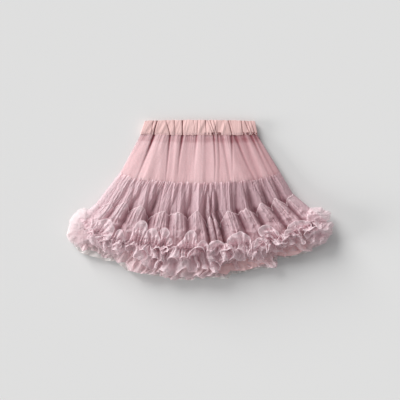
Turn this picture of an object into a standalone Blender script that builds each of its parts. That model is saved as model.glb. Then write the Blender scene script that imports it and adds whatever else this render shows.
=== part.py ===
"""Child's layered net skirt with an elastic waist, laid flat on a table with its front up.

Sizes are in metres. +X runs to the right of the front, +Y up to the waist and +Z up from the table.
The origin is on the table, under the middle of the skirt.

Every piece of cloth is a closed wall. A point of the skirt is found from u, which runs from -1 at the
left side to 1 at the right side, and from a row number, which counts the seam lines from the waist down.
"""

import math
from typing import NamedTuple

import bmesh
import bpy
import numpy as np

# Walls and gaps
NET_WALL = 0.0012
LINING_WALL = 0.0010
BAND_WALL = 0.0026
SEAM_GAP = 0.0004

# At a side seam the front's middle surface lies this far over the back's underside
NET_SIDE_STEP = 1.5 * NET_WALL + SEAM_GAP
BAND_SIDE_STEP = 1.5 * BAND_WALL + SEAM_GAP

# How the front rounds down to the side folds, and how the back rises to meet it
FRONT_ROUNDING = 5.0
BACK_ROUNDING = 4.0
BACK_FLAT = 0.6  # the share of the back, about its middle, that lies flat on the table

# How much of the width each inner layer has
UNDER_WIDTH = 0.95
UNDER_EDGE_WIDTH = 0.97
LINING_WIDTH = 0.90

# How far a seam is drawn towards the hem where it dips into a fold, as a share of the dip
DIP_PULL = 0.7


class SeamLine(NamedTuple):
    """A line across the laid skirt: its two ends, its middle, and the height of the front there."""

    left_x: float
    left_y: float
    right_x: float
    right_y: float
    middle_y: float
    crown: float
    side: float


# Each line's row number is its place in this list
SEAM_LINES = (
    SeamLine(-0.1036, 0.1490, 0.1036, 0.1485, 0.1510, 0.0082, 0.0030),  # top of the waistband
    SeamLine(-0.1120, 0.1245, 0.1085, 0.1230, 0.1225, 0.0090, 0.0032),  # waistband to yoke
    SeamLine(-0.1490, 0.0540, 0.1500, 0.0550, 0.0315, 0.0190, 0.0060),  # yoke to middle tier
    SeamLine(-0.1960, -0.0070, 0.1740, 0.0130, -0.0230, 0.0320, 0.0100),  # middle to lower tier
    SeamLine(-0.2180, -0.0250, 0.2080, -0.0160, -0.0700, 0.0420, 0.0140),  # lower tier to frill
    SeamLine(-0.2500, -0.0490, 0.2500, -0.0480, -0.1490, 0.0400, 0.0150),  # edge of the hem
)
WAIST_TOP, YOKE_TOP, MIDDLE_TOP, LOWER_TOP, FRILL_TOP, HEM = range(6)


class Crease(NamedTuple):
    """A fold's valley: where it starts and ends across the front, in metres, and its depth there."""

    upper_x: float
    lower_x: float
    upper_depth: float
    lower_depth: float


BAND_CREASES = (
    Crease(-0.0900, -0.0905, 0.0010, 0.0006),
    Crease(-0.0807, -0.0875, 0.0015, 0.0017),
    Crease(-0.0640, -0.0560, 0.0004, 0.0014),
    Crease(-0.0470, -0.0462, 0.0013, 0.0014),
    Crease(-0.0333, -0.0330, 0.0017, 0.0017),
    Crease(-0.0210, -0.0190, 0.0006, 0.0008),
    Crease(-0.0060, -0.0050, 0.0010, 0.0006),
    Crease(0.0100, 0.0125, 0.0014, 0.0006),
    Crease(0.0200, 0.0245, 0.0014, 0.0014),
    Crease(0.0295, 0.0330, 0.0012, 0.0014),
    Crease(0.0400, 0.0470, 0.0010, 0.0006),
    Crease(0.0530, 0.0600, 0.0012, 0.0015),
    Crease(0.0680, 0.0740, 0.0005, 0.0006),
    Crease(0.0765, 0.0825, 0.0014, 0.0013),
    Crease(0.0860, 0.0930, 0.0012, 0.0013),
    Crease(0.0940, 0.1010, 0.0010, 0.0014),
)

YOKE_CREASES = (
    Crease(-0.0870, -0.1270, 0.0018, 0.0014),
    Crease(-0.0560, -0.0640, 0.0017, 0.0014),
    Crease(-0.0330, -0.0390, 0.0018, 0.0006),
    Crease(-0.0060, -0.0130, 0.0012, 0.0004),
    Crease(0.0255, 0.0290, 0.0017, 0.0014),
    Crease(0.0400, 0.0560, 0.0010, 0.0012),
    Crease(0.0600, 0.0990, 0.0014, 0.0016),
    Crease(0.0870, 0.1130, 0.0014, 0.0016),
    Crease(0.0980, 0.1300, 0.0014, 0.0012),
)


class Flute(NamedTuple):
    """A valley between two gathers of the front, where it crosses each seam, and its depth there."""

    yoke_seam_x: float
    tier_seam_x: float
    frill_seam_x: float
    tier_seam_depth: float
    frill_seam_depth: float


FRONT_FLUTES = (
    Flute(-0.1430, -0.1750, -0.1960, 0.0045, 0.0040),
    Flute(-0.1345, -0.1560, -0.1710, 0.0040, 0.0045),
    Flute(-0.1215, -0.1310, -0.1480, 0.0065, 0.0060),
    Flute(-0.1085, -0.1200, -0.1280, 0.0025, 0.0025),
    Flute(-0.0900, -0.0980, -0.1080, 0.0070, 0.0065),
    Flute(-0.0785, -0.0900, -0.0950, 0.0045, 0.0025),
    Flute(-0.0665, -0.0790, -0.0830, 0.0055, 0.0030),
    Flute(-0.0505, -0.0570, -0.0610, 0.0025, 0.0060),
    Flute(-0.0390, -0.0420, -0.0450, 0.0025, 0.0040),
    Flute(-0.0260, -0.0265, -0.0265, 0.0070, 0.0060),
    Flute(-0.0145, -0.0180, -0.0120, 0.0040, 0.0025),
    Flute(0.0045, 0.0105, 0.0105, 0.0045, 0.0065),
    Flute(0.0148, 0.0230, 0.0220, 0.0060, 0.0045),
    Flute(0.0258, 0.0335, 0.0325, 0.0070, 0.0065),
    Flute(0.0370, 0.0420, 0.0450, 0.0025, 0.0025),
    Flute(0.0486, 0.0500, 0.0610, 0.0025, 0.0040),
    Flute(0.0593, 0.0630, 0.0830, 0.0045, 0.0065),
    Flute(0.0694, 0.0760, 0.0930, 0.0045, 0.0025),
    Flute(0.0783, 0.0940, 0.1120, 0.0065, 0.0060),
    Flute(0.0902, 0.1030, 0.1220, 0.0025, 0.0025),
    Flute(0.0980, 0.1190, 0.1340, 0.0045, 0.0040),
    Flute(0.1113, 0.1290, 0.1450, 0.0065, 0.0045),
    Flute(0.1216, 0.1440, 0.1640, 0.0025, 0.0025),
    Flute(0.1336, 0.1580, 0.1850, 0.0060, 0.0060),
)

YOKE_SEAM_DEPTH = 0.0018  # how deep the tight gathers are at the yoke's seam

# How deep a valley still is at each of a gather's columns, counted from the valley's bottom
COLUMNS_PER_FOLD = 4
COLUMN_PLACE = (0.0, 0.16, 0.5, 0.84)
DEPTH_LEFT_OF = (1.0, 0.30, 0.0, 0.0)
DEPTH_RIGHT_OF = (0.0, 0.0, 0.0, 0.30)

# The room for the inner layers at each row: how high the back's gathers reach over the back's underside,
# and how far the front's valleys dip below its outer gathers
BACK_TOP = (0.0040, 0.0024, 0.0024, 0.0024, 0.0026, 0.0108)
FRONT_DIP = (0.0035, 0.0027, 0.0028, 0.0080, 0.0075, 0.0080)

# Where each inner layer lies in that room, from 0 at the back to 1 at the front, at each row
UNDER_SHARE = (0.7, 0.7, 0.97, 0.66, 0.66, 0.66)
LINING_FRONT_SHARE = (0.80, 0.80, 0.34, 0.24, 0.22, 0.18)
LINING_BACK_SHARE = (0.10, 0.10, 0.12, 0.10, 0.10, 0.09)

UNDER_GATHERS = 14
UNDER_GATHER_DEPTH = 0.0030
BACK_GATHER_RISE = 0.0008


class Frill(NamedTuple):
    """A gathered strip at the hem, from the row of its gathering line to its free edge."""

    waves: int
    first_row: float
    edge_row: float
    edge_height: float  # of its middle surface over the table, at the middle of the skirt
    side_height: float
    root_wave: float  # half the height of its waves at the gathering line
    edge_wave: float  # and at its free edge
    edge_sway: float  # how far its folds lean sideways at the free edge
    root_width: float = 1.0  # how much of the skirt's width it has at the gathering line
    edge_width: float = 1.0  # and at its free edge


FRONT_FRILL = Frill(18, FRILL_TOP, 4.78, 0.0360, 0.0260, 0.0008, 0.0075, 0.0034)
UNDER_FRILL = Frill(
    18, FRILL_TOP + 0.04, 4.93, 0.0215, 0.0155, 0.0006, 0.0045, 0.0022, UNDER_WIDTH, UNDER_EDGE_WIDTH
)
BACK_FRILL = Frill(18, FRILL_TOP, 5.00, 0.0045, 0.0045, 0.0004, 0.0045, 0.0022)
END_WAVE = 0.5  # how high a frill's waves still are at the side folds, as a share
COLUMNS_PER_WAVE = 5
HEADING_HEIGHT = 0.0130  # the frill's other edge, which stands up from the gathering line
HEADING_LEAN = 0.0030
HEADING_WAVE = 0.0045
HEADING_ROWS = 2
SKIRT_ROWS = 3
FRILL_HALF_LENGTH = 0.2900  # along the hem, from its middle to the side

# Colour, roughness and metallic value of each cloth
NET = ("dusty rose net", (0.60, 0.40, 0.44), 0.85, 0.0)
LINING = ("rose cotton lining", (0.68, 0.38, 0.38), 0.80, 0.0)
BAND = ("peach pink cotton", (0.76, 0.47, 0.43), 0.75, 0.0)


def measured_line(line):
    """The line's shape as points evenly spaced along it: half an ellipse, tilted to join its two ends."""
    angle = np.radians(np.linspace(-90.0, 90.0, 181))
    across = np.sin(angle)
    x = (line.left_x + line.right_x) / 2 + (line.right_x - line.left_x) / 2 * across
    ends_y = line.left_y + (line.right_y - line.left_y) * (across + 1) / 2
    drop = (line.left_y + line.right_y) / 2 - line.middle_y
    y = ends_y - drop * np.cos(angle)
    along = np.concatenate([[0.0], np.cumsum(np.hypot(np.diff(x), np.diff(y)))])
    return 2 * along / along[-1] - 1, x, y


MEASURED_LINES = [measured_line(line) for line in SEAM_LINES]


def on_line(number, u):
    share, x, y = MEASURED_LINES[number]
    return np.array([np.interp(u, share, x), np.interp(u, share, y)])


def plan(u, row):
    """The place on the table of u at any row, between the seam lines above and below it."""
    above = min(int(row), HEM - 1)
    part = row - above
    return (1 - part) * on_line(above, u) + part * on_line(above + 1, u)


def share_at(number, x):
    """The u at which a seam line is at this x."""
    share, line_x, _ = MEASURED_LINES[number]
    return float(np.interp(x, line_x, share))


def down_the_skirt(u, row):
    """A unit vector on the table from the waist to the hem, at this place."""
    step = plan(u, min(row + 0.05, HEM)) - plan(u, max(row - 0.05, WAIST_TOP))
    return step / np.linalg.norm(step)


def by_row(values, row):
    return float(np.interp(row, range(len(values)), values))


def rounding(u, power):
    return math.sqrt(max(0.0, 1.0 - abs(u) ** power))


def front_height(u, row, side_step=NET_SIDE_STEP):
    """Height of the front's outer gathers, before their valleys."""
    crown = by_row([line.crown for line in SEAM_LINES], row)
    side = by_row([line.side for line in SEAM_LINES], row) + side_step
    return side + (crown - side) * rounding(u, FRONT_ROUNDING)


def back_lift(u):
    """How far the back has risen towards the side fold: 0 over its flat middle and 1 at the side."""
    past_flat = max(0.0, abs(u) - BACK_FLAT) / (1 - BACK_FLAT)
    return 1 - rounding(past_flat, BACK_ROUNDING)


def back_underside(u, row):
    return by_row([line.side for line in SEAM_LINES], row) * back_lift(u)


def between(u, row, shares):
    """Height of an inner layer, from its share of the room between back and front."""
    floor = back_underside(u, row) + by_row(BACK_TOP, row)
    ceiling = front_height(u, row) - by_row(FRONT_DIP, row)
    return floor + by_row(shares, row) * (ceiling - floor)


def material(piece_name, cloth):
    kind, colour, roughness, metallic = cloth
    made = bpy.data.materials.new(f"{kind} of {piece_name}")
    made.use_nodes = True
    shader = made.node_tree.nodes["Principled BSDF"]
    shader.inputs["Base Color"].default_value = (*colour, 1.0)
    shader.inputs["Roughness"].default_value = roughness
    shader.inputs["Metallic"].default_value = metallic
    return made


def shaped_grid(columns, rows, shape):
    """A flat grid whose points are moved to shape(column, row), column 0 at the left, row 0 at the top."""
    grid = bmesh.new()
    bmesh.ops.create_grid(grid, x_segments=columns, y_segments=rows, size=1.0)
    for point in grid.verts:
        column = round((point.co.x + 1) / 2 * columns)
        row = round((1 - point.co.y) / 2 * rows)
        point.co = shape(column, row)
    return grid


def placed(name, grid, cloth, collection):
    mesh = bpy.data.meshes.new(name)
    grid.to_mesh(mesh)
    grid.free()
    mesh.shade_smooth()
    piece = bpy.data.objects.new(name, mesh)
    mesh.materials.append(material(name, cloth))
    collection.objects.link(piece)
    return piece


def shell(name, columns, rows, shape, wall, cloth, collection):
    """A cloth wall of even thickness, half of it on each side of the shaped surface."""
    piece = placed(name, shaped_grid(columns, rows, shape), cloth, collection)
    solid = piece.modifiers.new("wall", "SOLIDIFY")
    solid.thickness = wall
    solid.offset = 0.0
    return piece


def laid_wall(name, columns, rows, shape, cloth, collection):
    """A cloth wall that lies on the table. The shape gives its top and also the height of its underside."""
    undersides = {}

    def top(column, row):
        x, y, z, low = shape(column, row)
        undersides[column, row] = low
        return x, y, z

    grid = shaped_grid(columns, rows, top)
    low_of = grid.verts.layers.float.new("underside")
    for point, low in zip(grid.verts, undersides.values()):
        point[low_of] = low
    lower = bmesh.ops.extrude_face_region(grid, geom=grid.faces[:] + grid.edges[:] + grid.verts[:])
    for point in lower["geom"]:
        if isinstance(point, bmesh.types.BMVert):
            point.co.z = point[low_of]
    bmesh.ops.recalc_face_normals(grid, faces=grid.faces[:])
    return placed(name, grid, cloth, collection)


def fold_columns(valleys):
    """For each column of a gathered panel: its u at the top and bottom, and its dip at each.

    valleys holds (u at top, u at bottom, depth at top, depth at bottom). The gathers lie between them.
    """
    side = (0.0, 0.0)
    left = [(-1.0, -1.0, *side), *valleys]
    right = [*valleys, (1.0, 1.0, *side)]
    columns = []
    for a, b in zip(left, right):
        for place, of_left, of_right in zip(COLUMN_PLACE, DEPTH_LEFT_OF, DEPTH_RIGHT_OF):
            u = [a[k] + (b[k] - a[k]) * place for k in (0, 1)]
            dip = [a[k] * of_left + b[k] * of_right for k in (2, 3)]
            columns.append((*u, *dip))
    columns.append((1.0, 1.0, *side))
    return columns


def seam_trim(row, rows):
    """How far a panel's edge keeps back from the seam line: half of the gap at each end."""
    if row == 0:
        return SEAM_GAP / 2
    return -SEAM_GAP / 2 if row == rows else 0.0


def gathered_front(name, upper, valleys, rows, wall, cloth, collection, side_step=NET_SIDE_STEP):
    """A front panel between a seam line and the next, with valleys that run down it."""
    columns = fold_columns(valleys)

    def point(column, row):
        part = row / rows
        upper_u, lower_u, upper_dip, lower_dip = columns[column]
        u = upper_u + (lower_u - upper_u) * part
        at = upper + part
        dip = (upper_dip + (lower_dip - upper_dip) * part) * rounding(u, FRONT_ROUNDING)
        trim = seam_trim(row, rows)
        pull = DIP_PULL * dip * max(0.0, 1 - abs(at - LOWER_TOP))
        x, y = plan(u, at) + down_the_skirt(u, at) * (trim + pull)
        return x, y, front_height(u, at, side_step) - dip

    return shell(name, len(columns) - 1, rows, point, wall, cloth, collection)


def crease_valleys(creases, upper):
    """Valleys as u and depth at the panel's top and bottom."""
    valleys = []
    for crease in creases:
        top_u = share_at(upper, crease.upper_x)
        bottom_u = share_at(upper + 1, crease.lower_x)
        valleys.append((top_u, bottom_u, crease.upper_depth, crease.lower_depth))
    return valleys


def make_fronts(collection):
    band = crease_valleys(BAND_CREASES, WAIST_TOP)
    yoke = crease_valleys(YOKE_CREASES, YOKE_TOP)
    middle = []
    lower = []
    for flute in FRONT_FLUTES:
        at_yoke = share_at(MIDDLE_TOP, flute.yoke_seam_x)
        at_tier = share_at(LOWER_TOP, flute.tier_seam_x)
        at_frill = share_at(FRILL_TOP, flute.frill_seam_x)
        middle.append((at_yoke, at_tier, YOKE_SEAM_DEPTH, flute.tier_seam_depth))
        lower.append((at_tier, at_frill, flute.tier_seam_depth, flute.frill_seam_depth))
    gathered_front("waistband_front", WAIST_TOP, band, 2, BAND_WALL, BAND, collection, BAND_SIDE_STEP)
    gathered_front("yoke_front", YOKE_TOP, yoke, 4, NET_WALL, NET, collection)
    gathered_front("middle_tier_front", MIDDLE_TOP, middle, 4, NET_WALL, NET, collection)
    gathered_front("lower_tier_front", LOWER_TOP, lower, 4, NET_WALL, NET, collection)


def make_inner_layers(collection):
    """The gathered net under the front tiers, and the lining's two panels, which lie on each other."""
    columns = UNDER_GATHERS * COLUMNS_PER_FOLD

    def under_net(column, row):
        u = (2 * column / columns - 1) * UNDER_WIDTH
        at = MIDDLE_TOP + 0.03 + (FRILL_TOP - MIDDLE_TOP - 0.05) * row / 6
        wave = math.sin(math.pi * column / COLUMNS_PER_FOLD * 2) * UNDER_GATHER_DEPTH / 2
        x, y = plan(u, at)
        return x, y, between(u, at, UNDER_SHARE) + wave * rounding(u, FRONT_ROUNDING) * row / 6

    shell("under_tier_front", columns, 6, under_net, NET_WALL, NET, collection)

    def lining(shares, last_row):
        def point(column, row):
            u = (column / 10 - 1) * LINING_WIDTH
            at = YOKE_TOP + 0.02 + (last_row - YOKE_TOP - 0.02) * row / 10
            x, y = plan(u, at)
            return x, y, between(u, at, shares)

        return point

    shell("lining_front", 20, 10, lining(LINING_FRONT_SHARE, 4.95), LINING_WALL, LINING, collection)
    shell("lining_back", 20, 10, lining(LINING_BACK_SHARE, 4.95), LINING_WALL, LINING, collection)


def make_backs(collection):
    """The back's panels, which lie on the table side by side, pressed flat underneath."""
    panels = (
        ("waistband_back", WAIST_TOP, 12, 1, BAND_WALL, BAND),
        ("yoke_back", YOKE_TOP, 8, 2, NET_WALL, NET),
        ("middle_tier_back", MIDDLE_TOP, 12, 2, NET_WALL, NET),
        ("lower_tier_back", LOWER_TOP, 12, 2, NET_WALL, NET),
    )
    for name, upper, gathers, rows, wall, cloth in panels:
        columns = gathers * COLUMNS_PER_FOLD

        def point(column, row):
            u = 2 * column / columns - 1
            at = upper + row / rows
            x, y = plan(u, at) + down_the_skirt(u, at) * seam_trim(row, rows)
            low = back_underside(u, at)
            rise = BACK_GATHER_RISE * (0.5 - 0.5 * math.cos(2 * math.pi * column / COLUMNS_PER_FOLD))
            return x, y, low + wall + (rise if 0 < abs(u) < 1 else 0.0), low

        laid_wall(name, columns, rows, point, cloth, collection)


def wave_strength(frill, number):
    """Each wave of a frill is a little higher or lower than the next."""
    return 0.82 + 0.18 * math.sin(2.4 * number + frill.waves * frill.edge_row)


def frill_place(frill, column):
    """u, wave phase and strength at a frill's column. The waves are unevenly wide."""
    count = frill.waves * COLUMNS_PER_WAVE
    phase = 2 * math.pi * column / COLUMNS_PER_WAVE
    even = column / count
    uneven = 0.010 * math.sin(2 * math.pi * 3 * even) + 0.006 * math.sin(2 * math.pi * 7 * even)
    u = 2 * (even + uneven * math.sin(math.pi * even)) - 1
    return u, phase, wave_strength(frill, column / COLUMNS_PER_WAVE)


def frill_point(frill, column, part, root_height):
    """A point of a frill's hanging part. part is 0 at the gathering line and 1 at the free edge."""
    u, phase, strength = frill_place(frill, column)
    calmer = END_WAVE + (1 - END_WAVE) * rounding(u, 4)
    wave = (frill.root_wave + (frill.edge_wave - frill.root_wave) * part) * strength * calmer
    sway = frill.edge_sway * part * strength * math.sin(2 * phase) / FRILL_HALF_LENGTH
    row = frill.first_row + (frill.edge_row - frill.first_row) * part
    edge_height = frill.side_height + (frill.edge_height - frill.side_height) * rounding(u, 4)
    height = root_height(u) + (edge_height - root_height(u)) * part**1.5
    u = min(1.0, max(-1.0, u - sway * (1 - u * u)))
    x, y = plan(u * (frill.root_width + (frill.edge_width - frill.root_width) * part), row)
    return x, y, height, wave * math.sin(phase), wave


def make_front_frill(collection):
    """The outer frill: gathered along a line near its upper edge, which stands up as a heading."""
    frill = FRONT_FRILL
    rows = HEADING_ROWS + SKIRT_ROWS

    def root_height(u):
        return front_height(u, FRILL_TOP) + 0.0010

    def point(column, row):
        u, phase, strength = frill_place(frill, column)
        out = down_the_skirt(u, FRILL_TOP)
        clear = out * (NET_WALL / 2 + SEAM_GAP)
        if row >= HEADING_ROWS:
            part = (row - HEADING_ROWS) / SKIRT_ROWS
            x, y, height, lift, _ = frill_point(frill, column, part, root_height)
            return x + clear[0], y + clear[1], height + lift
        part = 1 - row / HEADING_ROWS
        x, y = plan(u, FRILL_TOP)
        reach = HEADING_LEAN * part + HEADING_WAVE * part * strength * math.sin(phase)
        x, y = np.array([x, y]) + clear + out * reach
        return x, y, root_height(u) + HEADING_HEIGHT * part * (0.85 + 0.15 * math.cos(phase))

    shell("frill_front", frill.waves * COLUMNS_PER_WAVE, rows, point, NET_WALL, NET, collection)


def make_under_frill(collection):
    frill = UNDER_FRILL

    def root_height(u):
        return between(u * UNDER_WIDTH, FRILL_TOP, UNDER_SHARE)

    def point(column, row):
        x, y, height, lift, _ = frill_point(frill, column, row / SKIRT_ROWS, root_height)
        return x, y, height + lift

    shell("under_frill_front", frill.waves * COLUMNS_PER_WAVE, SKIRT_ROWS, point, NET_WALL, NET, collection)


def make_back_frill(collection):
    """The back's frill lies on the table: its lower folds are pressed flat, and its upper folds arch."""
    frill = BACK_FRILL

    def root_height(u):
        return 0.0

    def point(column, row):
        x, y, _, _, wave = frill_point(frill, column, row / SKIRT_ROWS, root_height)
        u, phase, _ = frill_place(frill, column)
        low = max(0.0, 2 * wave * math.sin(phase)) + back_underside(u, FRILL_TOP) * (1 - row / SKIRT_ROWS)
        if row == 0:
            shift = down_the_skirt(u, FRILL_TOP) * SEAM_GAP / 2
            x, y = x + shift[0], y + shift[1]
        return x, y, low + NET_WALL, low

    laid_wall("frill_back", frill.waves * COLUMNS_PER_WAVE, SKIRT_ROWS, point, NET, collection)


def main():
    for old in list(bpy.data.objects):
        bpy.data.objects.remove(old)
    collection = bpy.data.collections.new("layered net skirt")
    bpy.context.scene.collection.children.link(collection)
    make_backs(collection)
    make_back_frill(collection)
    make_inner_layers(collection)
    make_fronts(collection)
    make_under_frill(collection)
    make_front_frill(collection)


main()
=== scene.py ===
import math

import bpy
import numpy as np
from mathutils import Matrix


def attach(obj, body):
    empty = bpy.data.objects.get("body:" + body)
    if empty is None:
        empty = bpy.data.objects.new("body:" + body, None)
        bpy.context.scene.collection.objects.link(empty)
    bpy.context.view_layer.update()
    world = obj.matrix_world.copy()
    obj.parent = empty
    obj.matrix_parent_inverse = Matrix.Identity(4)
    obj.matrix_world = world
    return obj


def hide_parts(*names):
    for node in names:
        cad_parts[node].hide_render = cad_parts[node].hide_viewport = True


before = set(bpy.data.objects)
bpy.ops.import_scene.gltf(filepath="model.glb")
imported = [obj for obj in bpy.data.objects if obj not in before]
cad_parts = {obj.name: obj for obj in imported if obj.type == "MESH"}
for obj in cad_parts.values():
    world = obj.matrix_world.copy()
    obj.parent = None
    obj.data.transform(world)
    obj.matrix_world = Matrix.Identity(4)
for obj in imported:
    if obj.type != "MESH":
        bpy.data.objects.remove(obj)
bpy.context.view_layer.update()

mm = 0.001


# The skirt's own grid: u runs from -1 at the left side to 1 at the right side, and a row number
# counts the seam lines down from the waist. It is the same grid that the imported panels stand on.

skirt = {
    # leftX, leftY, rightX, rightY, middleY, crown height of the front, height of the side fold
    "seamLines": (
        (-0.1036, 0.1490, 0.1036, 0.1485, 0.1510, 0.0108, 0.0070),  # top of the waistband
        (-0.1120, 0.1245, 0.1085, 0.1230, 0.1225, 0.0116, 0.0075),  # waistband to yoke
        (-0.1490, 0.0540, 0.1500, 0.0550, 0.0315, 0.0200, 0.0110),  # yoke to middle tier
        (-0.1960, -0.0070, 0.1740, 0.0130, -0.0230, 0.0320, 0.0145),  # middle to lower tier
        (-0.2180, -0.0250, 0.2080, -0.0160, -0.0700, 0.0420, 0.0155),  # lower tier to frill
        (-0.2500, -0.0490, 0.2500, -0.0480, -0.1490, 0.0400, 0.0150),  # edge of the hem
    ),
    "frontRounding": 8.0,
    "backRounding": 4.0,
    "backFlat": 0.6,
    "sideStep": 2.2 * mm,  # the front's edge lies this far over the back's at a side seam
}
waistTop, yokeTop, middleTop, lowerTop, frillTop, hem = range(6)


def measureLine(line):
    leftX, leftY, rightX, rightY, middleY = line[:5]
    angle = np.radians(np.linspace(-90.0, 90.0, 361))
    across = np.sin(angle)
    x = (leftX + rightX) / 2 + (rightX - leftX) / 2 * across
    y = leftY + (rightY - leftY) * (across + 1) / 2 - ((leftY + rightY) / 2 - middleY) * np.cos(angle)
    along = np.concatenate([[0.0], np.cumsum(np.hypot(np.diff(x), np.diff(y)))])
    return 2 * along / along[-1] - 1, x, y


seamShapes = [measureLine(line) for line in skirt["seamLines"]]
crowns = [line[5] for line in skirt["seamLines"]]
sides = [line[6] for line in skirt["seamLines"]]


def byRow(values, row):
    return np.interp(row, range(len(values)), values)


def plan(u, row):
    u, row = np.broadcast_arrays(np.asarray(u, float), np.asarray(row, float))
    x = np.stack([np.interp(u, share, lineX) for share, lineX, lineY in seamShapes])
    y = np.stack([np.interp(u, share, lineY) for share, lineX, lineY in seamShapes])
    above = np.clip(row.astype(int), 0, hem - 1)
    part = row - above
    pick = lambda values, at: np.take_along_axis(values, at[None], 0)[0]
    return tuple(pick(v, above) * (1 - part) + pick(v, above + 1) * part for v in (x, y))


def rounding(u, power):
    return np.sqrt(np.clip(1.0 - np.abs(u) ** power, 0.0, 1.0))


def frontHeight(u, row, step=skirt["sideStep"]):
    side = byRow(sides, row) + step
    return side + (byRow(crowns, row) - side) * rounding(u, skirt["frontRounding"])


def backHeight(u, row):
    pastFlat = np.clip(np.abs(u) - skirt["backFlat"], 0, 1) / (1 - skirt["backFlat"])
    return byRow(sides, row) * (1 - rounding(pastFlat, skirt["backRounding"]))


def halfLength(row):  # half the skirt's width at a row, measured along the row
    return byRow([0.1037, 0.1103, 0.1535, 0.1905, 0.2240, 0.2920], row)


def noise(x, seed):  # smooth and seeded, from -1 to 1, one bump for each unit of x
    values = np.random.default_rng(seed).uniform(-1, 1, 4096)
    x = np.asarray(x, float) + 2048
    low = np.floor(x).astype(int)
    part = x - low
    part = part * part * (3 - 2 * part)
    return values[low % 4096] * (1 - part) + values[(low + 1) % 4096] * part


def crumple(x, y, seed):  # the same over a surface, one bump for each unit of x and y
    values = np.random.default_rng(seed).uniform(-1, 1, (64, 64))
    x, y = np.asarray(x, float) + 32, np.asarray(y, float) + 32
    lowX, lowY = np.floor(x).astype(int), np.floor(y).astype(int)
    partX, partY = x - lowX, y - lowY
    partX, partY = partX * partX * (3 - 2 * partX), partY * partY * (3 - 2 * partY)
    corner = lambda a, b: values[(lowX + a) % 64, (lowY + b) % 64]
    near = corner(0, 0) * (1 - partX) + corner(1, 0) * partX
    far = corner(0, 1) * (1 - partX) + corner(1, 1) * partX
    return near * (1 - partY) + far * partY


def wrinkles(x, y, seed):  # crumpled net: sharp little ridges of two sizes
    wide = 1 - 2.5 * np.abs(crumple(x / (13 * mm), y / (13 * mm), seed))
    fine = 1 - 2.5 * np.abs(crumple(x / (6 * mm), y / (6 * mm), seed + 500))
    return (2.6 * wide + 1.3 * fine) * mm


def smooth(x, start, end):
    x = np.clip((x - start) / (end - start), 0, 1)
    return x * x * (3 - 2 * x)


# Meshes

def gridFaces(rows, columns):
    corner = (np.arange(rows)[:, None] * (columns + 1) + np.arange(columns)[None, :]).ravel()
    return np.stack([corner, corner + columns + 1, corner + columns + 2, corner + 1], 1)


def gridOf(*parts):
    return np.stack(np.broadcast_arrays(*parts), -1)


def clothMesh(name, points, material, shade=None, thickness=0.0):
    rows, columns = points.shape[0] - 1, points.shape[1] - 1
    faces = gridFaces(rows, columns)
    mesh = bpy.data.meshes.new(name)
    mesh.from_pydata(points.reshape(-1, 3).tolist(), [], faces.tolist())
    mesh.shade_smooth()
    # real cloth lengths as UVs, so that each weave is drawn at its true size
    middle = points[rows // 2]
    across = np.concatenate([[0.0], np.cumsum(np.linalg.norm(np.diff(middle, axis=0), axis=1))])
    strip = points[:, columns // 2]
    down = np.concatenate([[0.0], np.cumsum(np.linalg.norm(np.diff(strip, axis=0), axis=1))])
    uv = gridOf(across[None, :], down[:, None]).reshape(-1, 2)
    layer = mesh.uv_layers.new(name="cloth")
    layer.data.foreach_set("uv", uv[faces.ravel()].ravel())
    # the fold attribute carries painted light and shade: positive values are painted shade, negative values
    # painted highlight
    tone = mesh.attributes.new("fold", "FLOAT", "POINT")
    tone.data.foreach_set("value", np.zeros(len(uv)) if shade is None else np.clip(shade, -1, 1.3).ravel())
    piece = bpy.data.objects.new(name, mesh)
    bpy.context.scene.collection.objects.link(piece)
    mesh.materials.append(material)
    if thickness:
        solid = piece.modifiers.new("cloth thickness", "SOLIDIFY")
        solid.thickness = thickness
        solid.offset = 0.0
    return piece


def threadAlong(name, lines, radius, material):
    curve = bpy.data.curves.new(name, "CURVE")
    curve.dimensions = "3D"
    curve.bevel_depth = radius
    curve.bevel_resolution = 1
    curve.use_fill_caps = True
    for line in lines:
        spline = curve.splines.new("POLY")
        spline.points.add(len(line) - 1)
        spline.points.foreach_set("co", np.column_stack([line, np.ones(len(line))]).ravel())
    shaped = bpy.data.objects.new(name + "Curve", curve)
    bpy.context.scene.collection.objects.link(shaped)
    bpy.context.view_layer.update()
    mesh = bpy.data.meshes.new_from_object(shaped.evaluated_get(bpy.context.evaluated_depsgraph_get()))
    bpy.data.objects.remove(shaped)
    mesh.name = name
    mesh.materials.clear()
    mesh.materials.append(material)
    mesh.shade_smooth()
    piece = bpy.data.objects.new(name, mesh)
    bpy.context.scene.collection.objects.link(piece)
    return piece


def wear(piece, nodes=()):
    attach(piece, "root")
    if nodes:
        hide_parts(*nodes)


def areaOf(piece):
    piece.data.calc_loop_triangles()
    return sum(polygon.area for polygon in piece.data.polygons)


# Materials

def linear(hexColour):
    srgb = [int(hexColour[k:k + 2], 16) / 255 for k in (1, 3, 5)]
    return (*[c / 12.92 if c <= 0.04045 else ((c + 0.055) / 1.055) ** 2.4 for c in srgb], 1.0)


def addNode(tree, kind, settings=None, links=None):
    made = tree.nodes.new("ShaderNode" + kind)
    for key, value in (settings or {}).items():
        if isinstance(key, str) and hasattr(made, key):
            setattr(made, key, value)
        else:
            made.inputs[key].default_value = value
    for key, source in (links or {}).items():
        tree.links.new(source, made.inputs[key])
    return made


def freshMaterial(name):
    material = bpy.data.materials.new(name)
    material.use_nodes = True
    material.node_tree.nodes.clear()
    return material, material.node_tree
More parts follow.
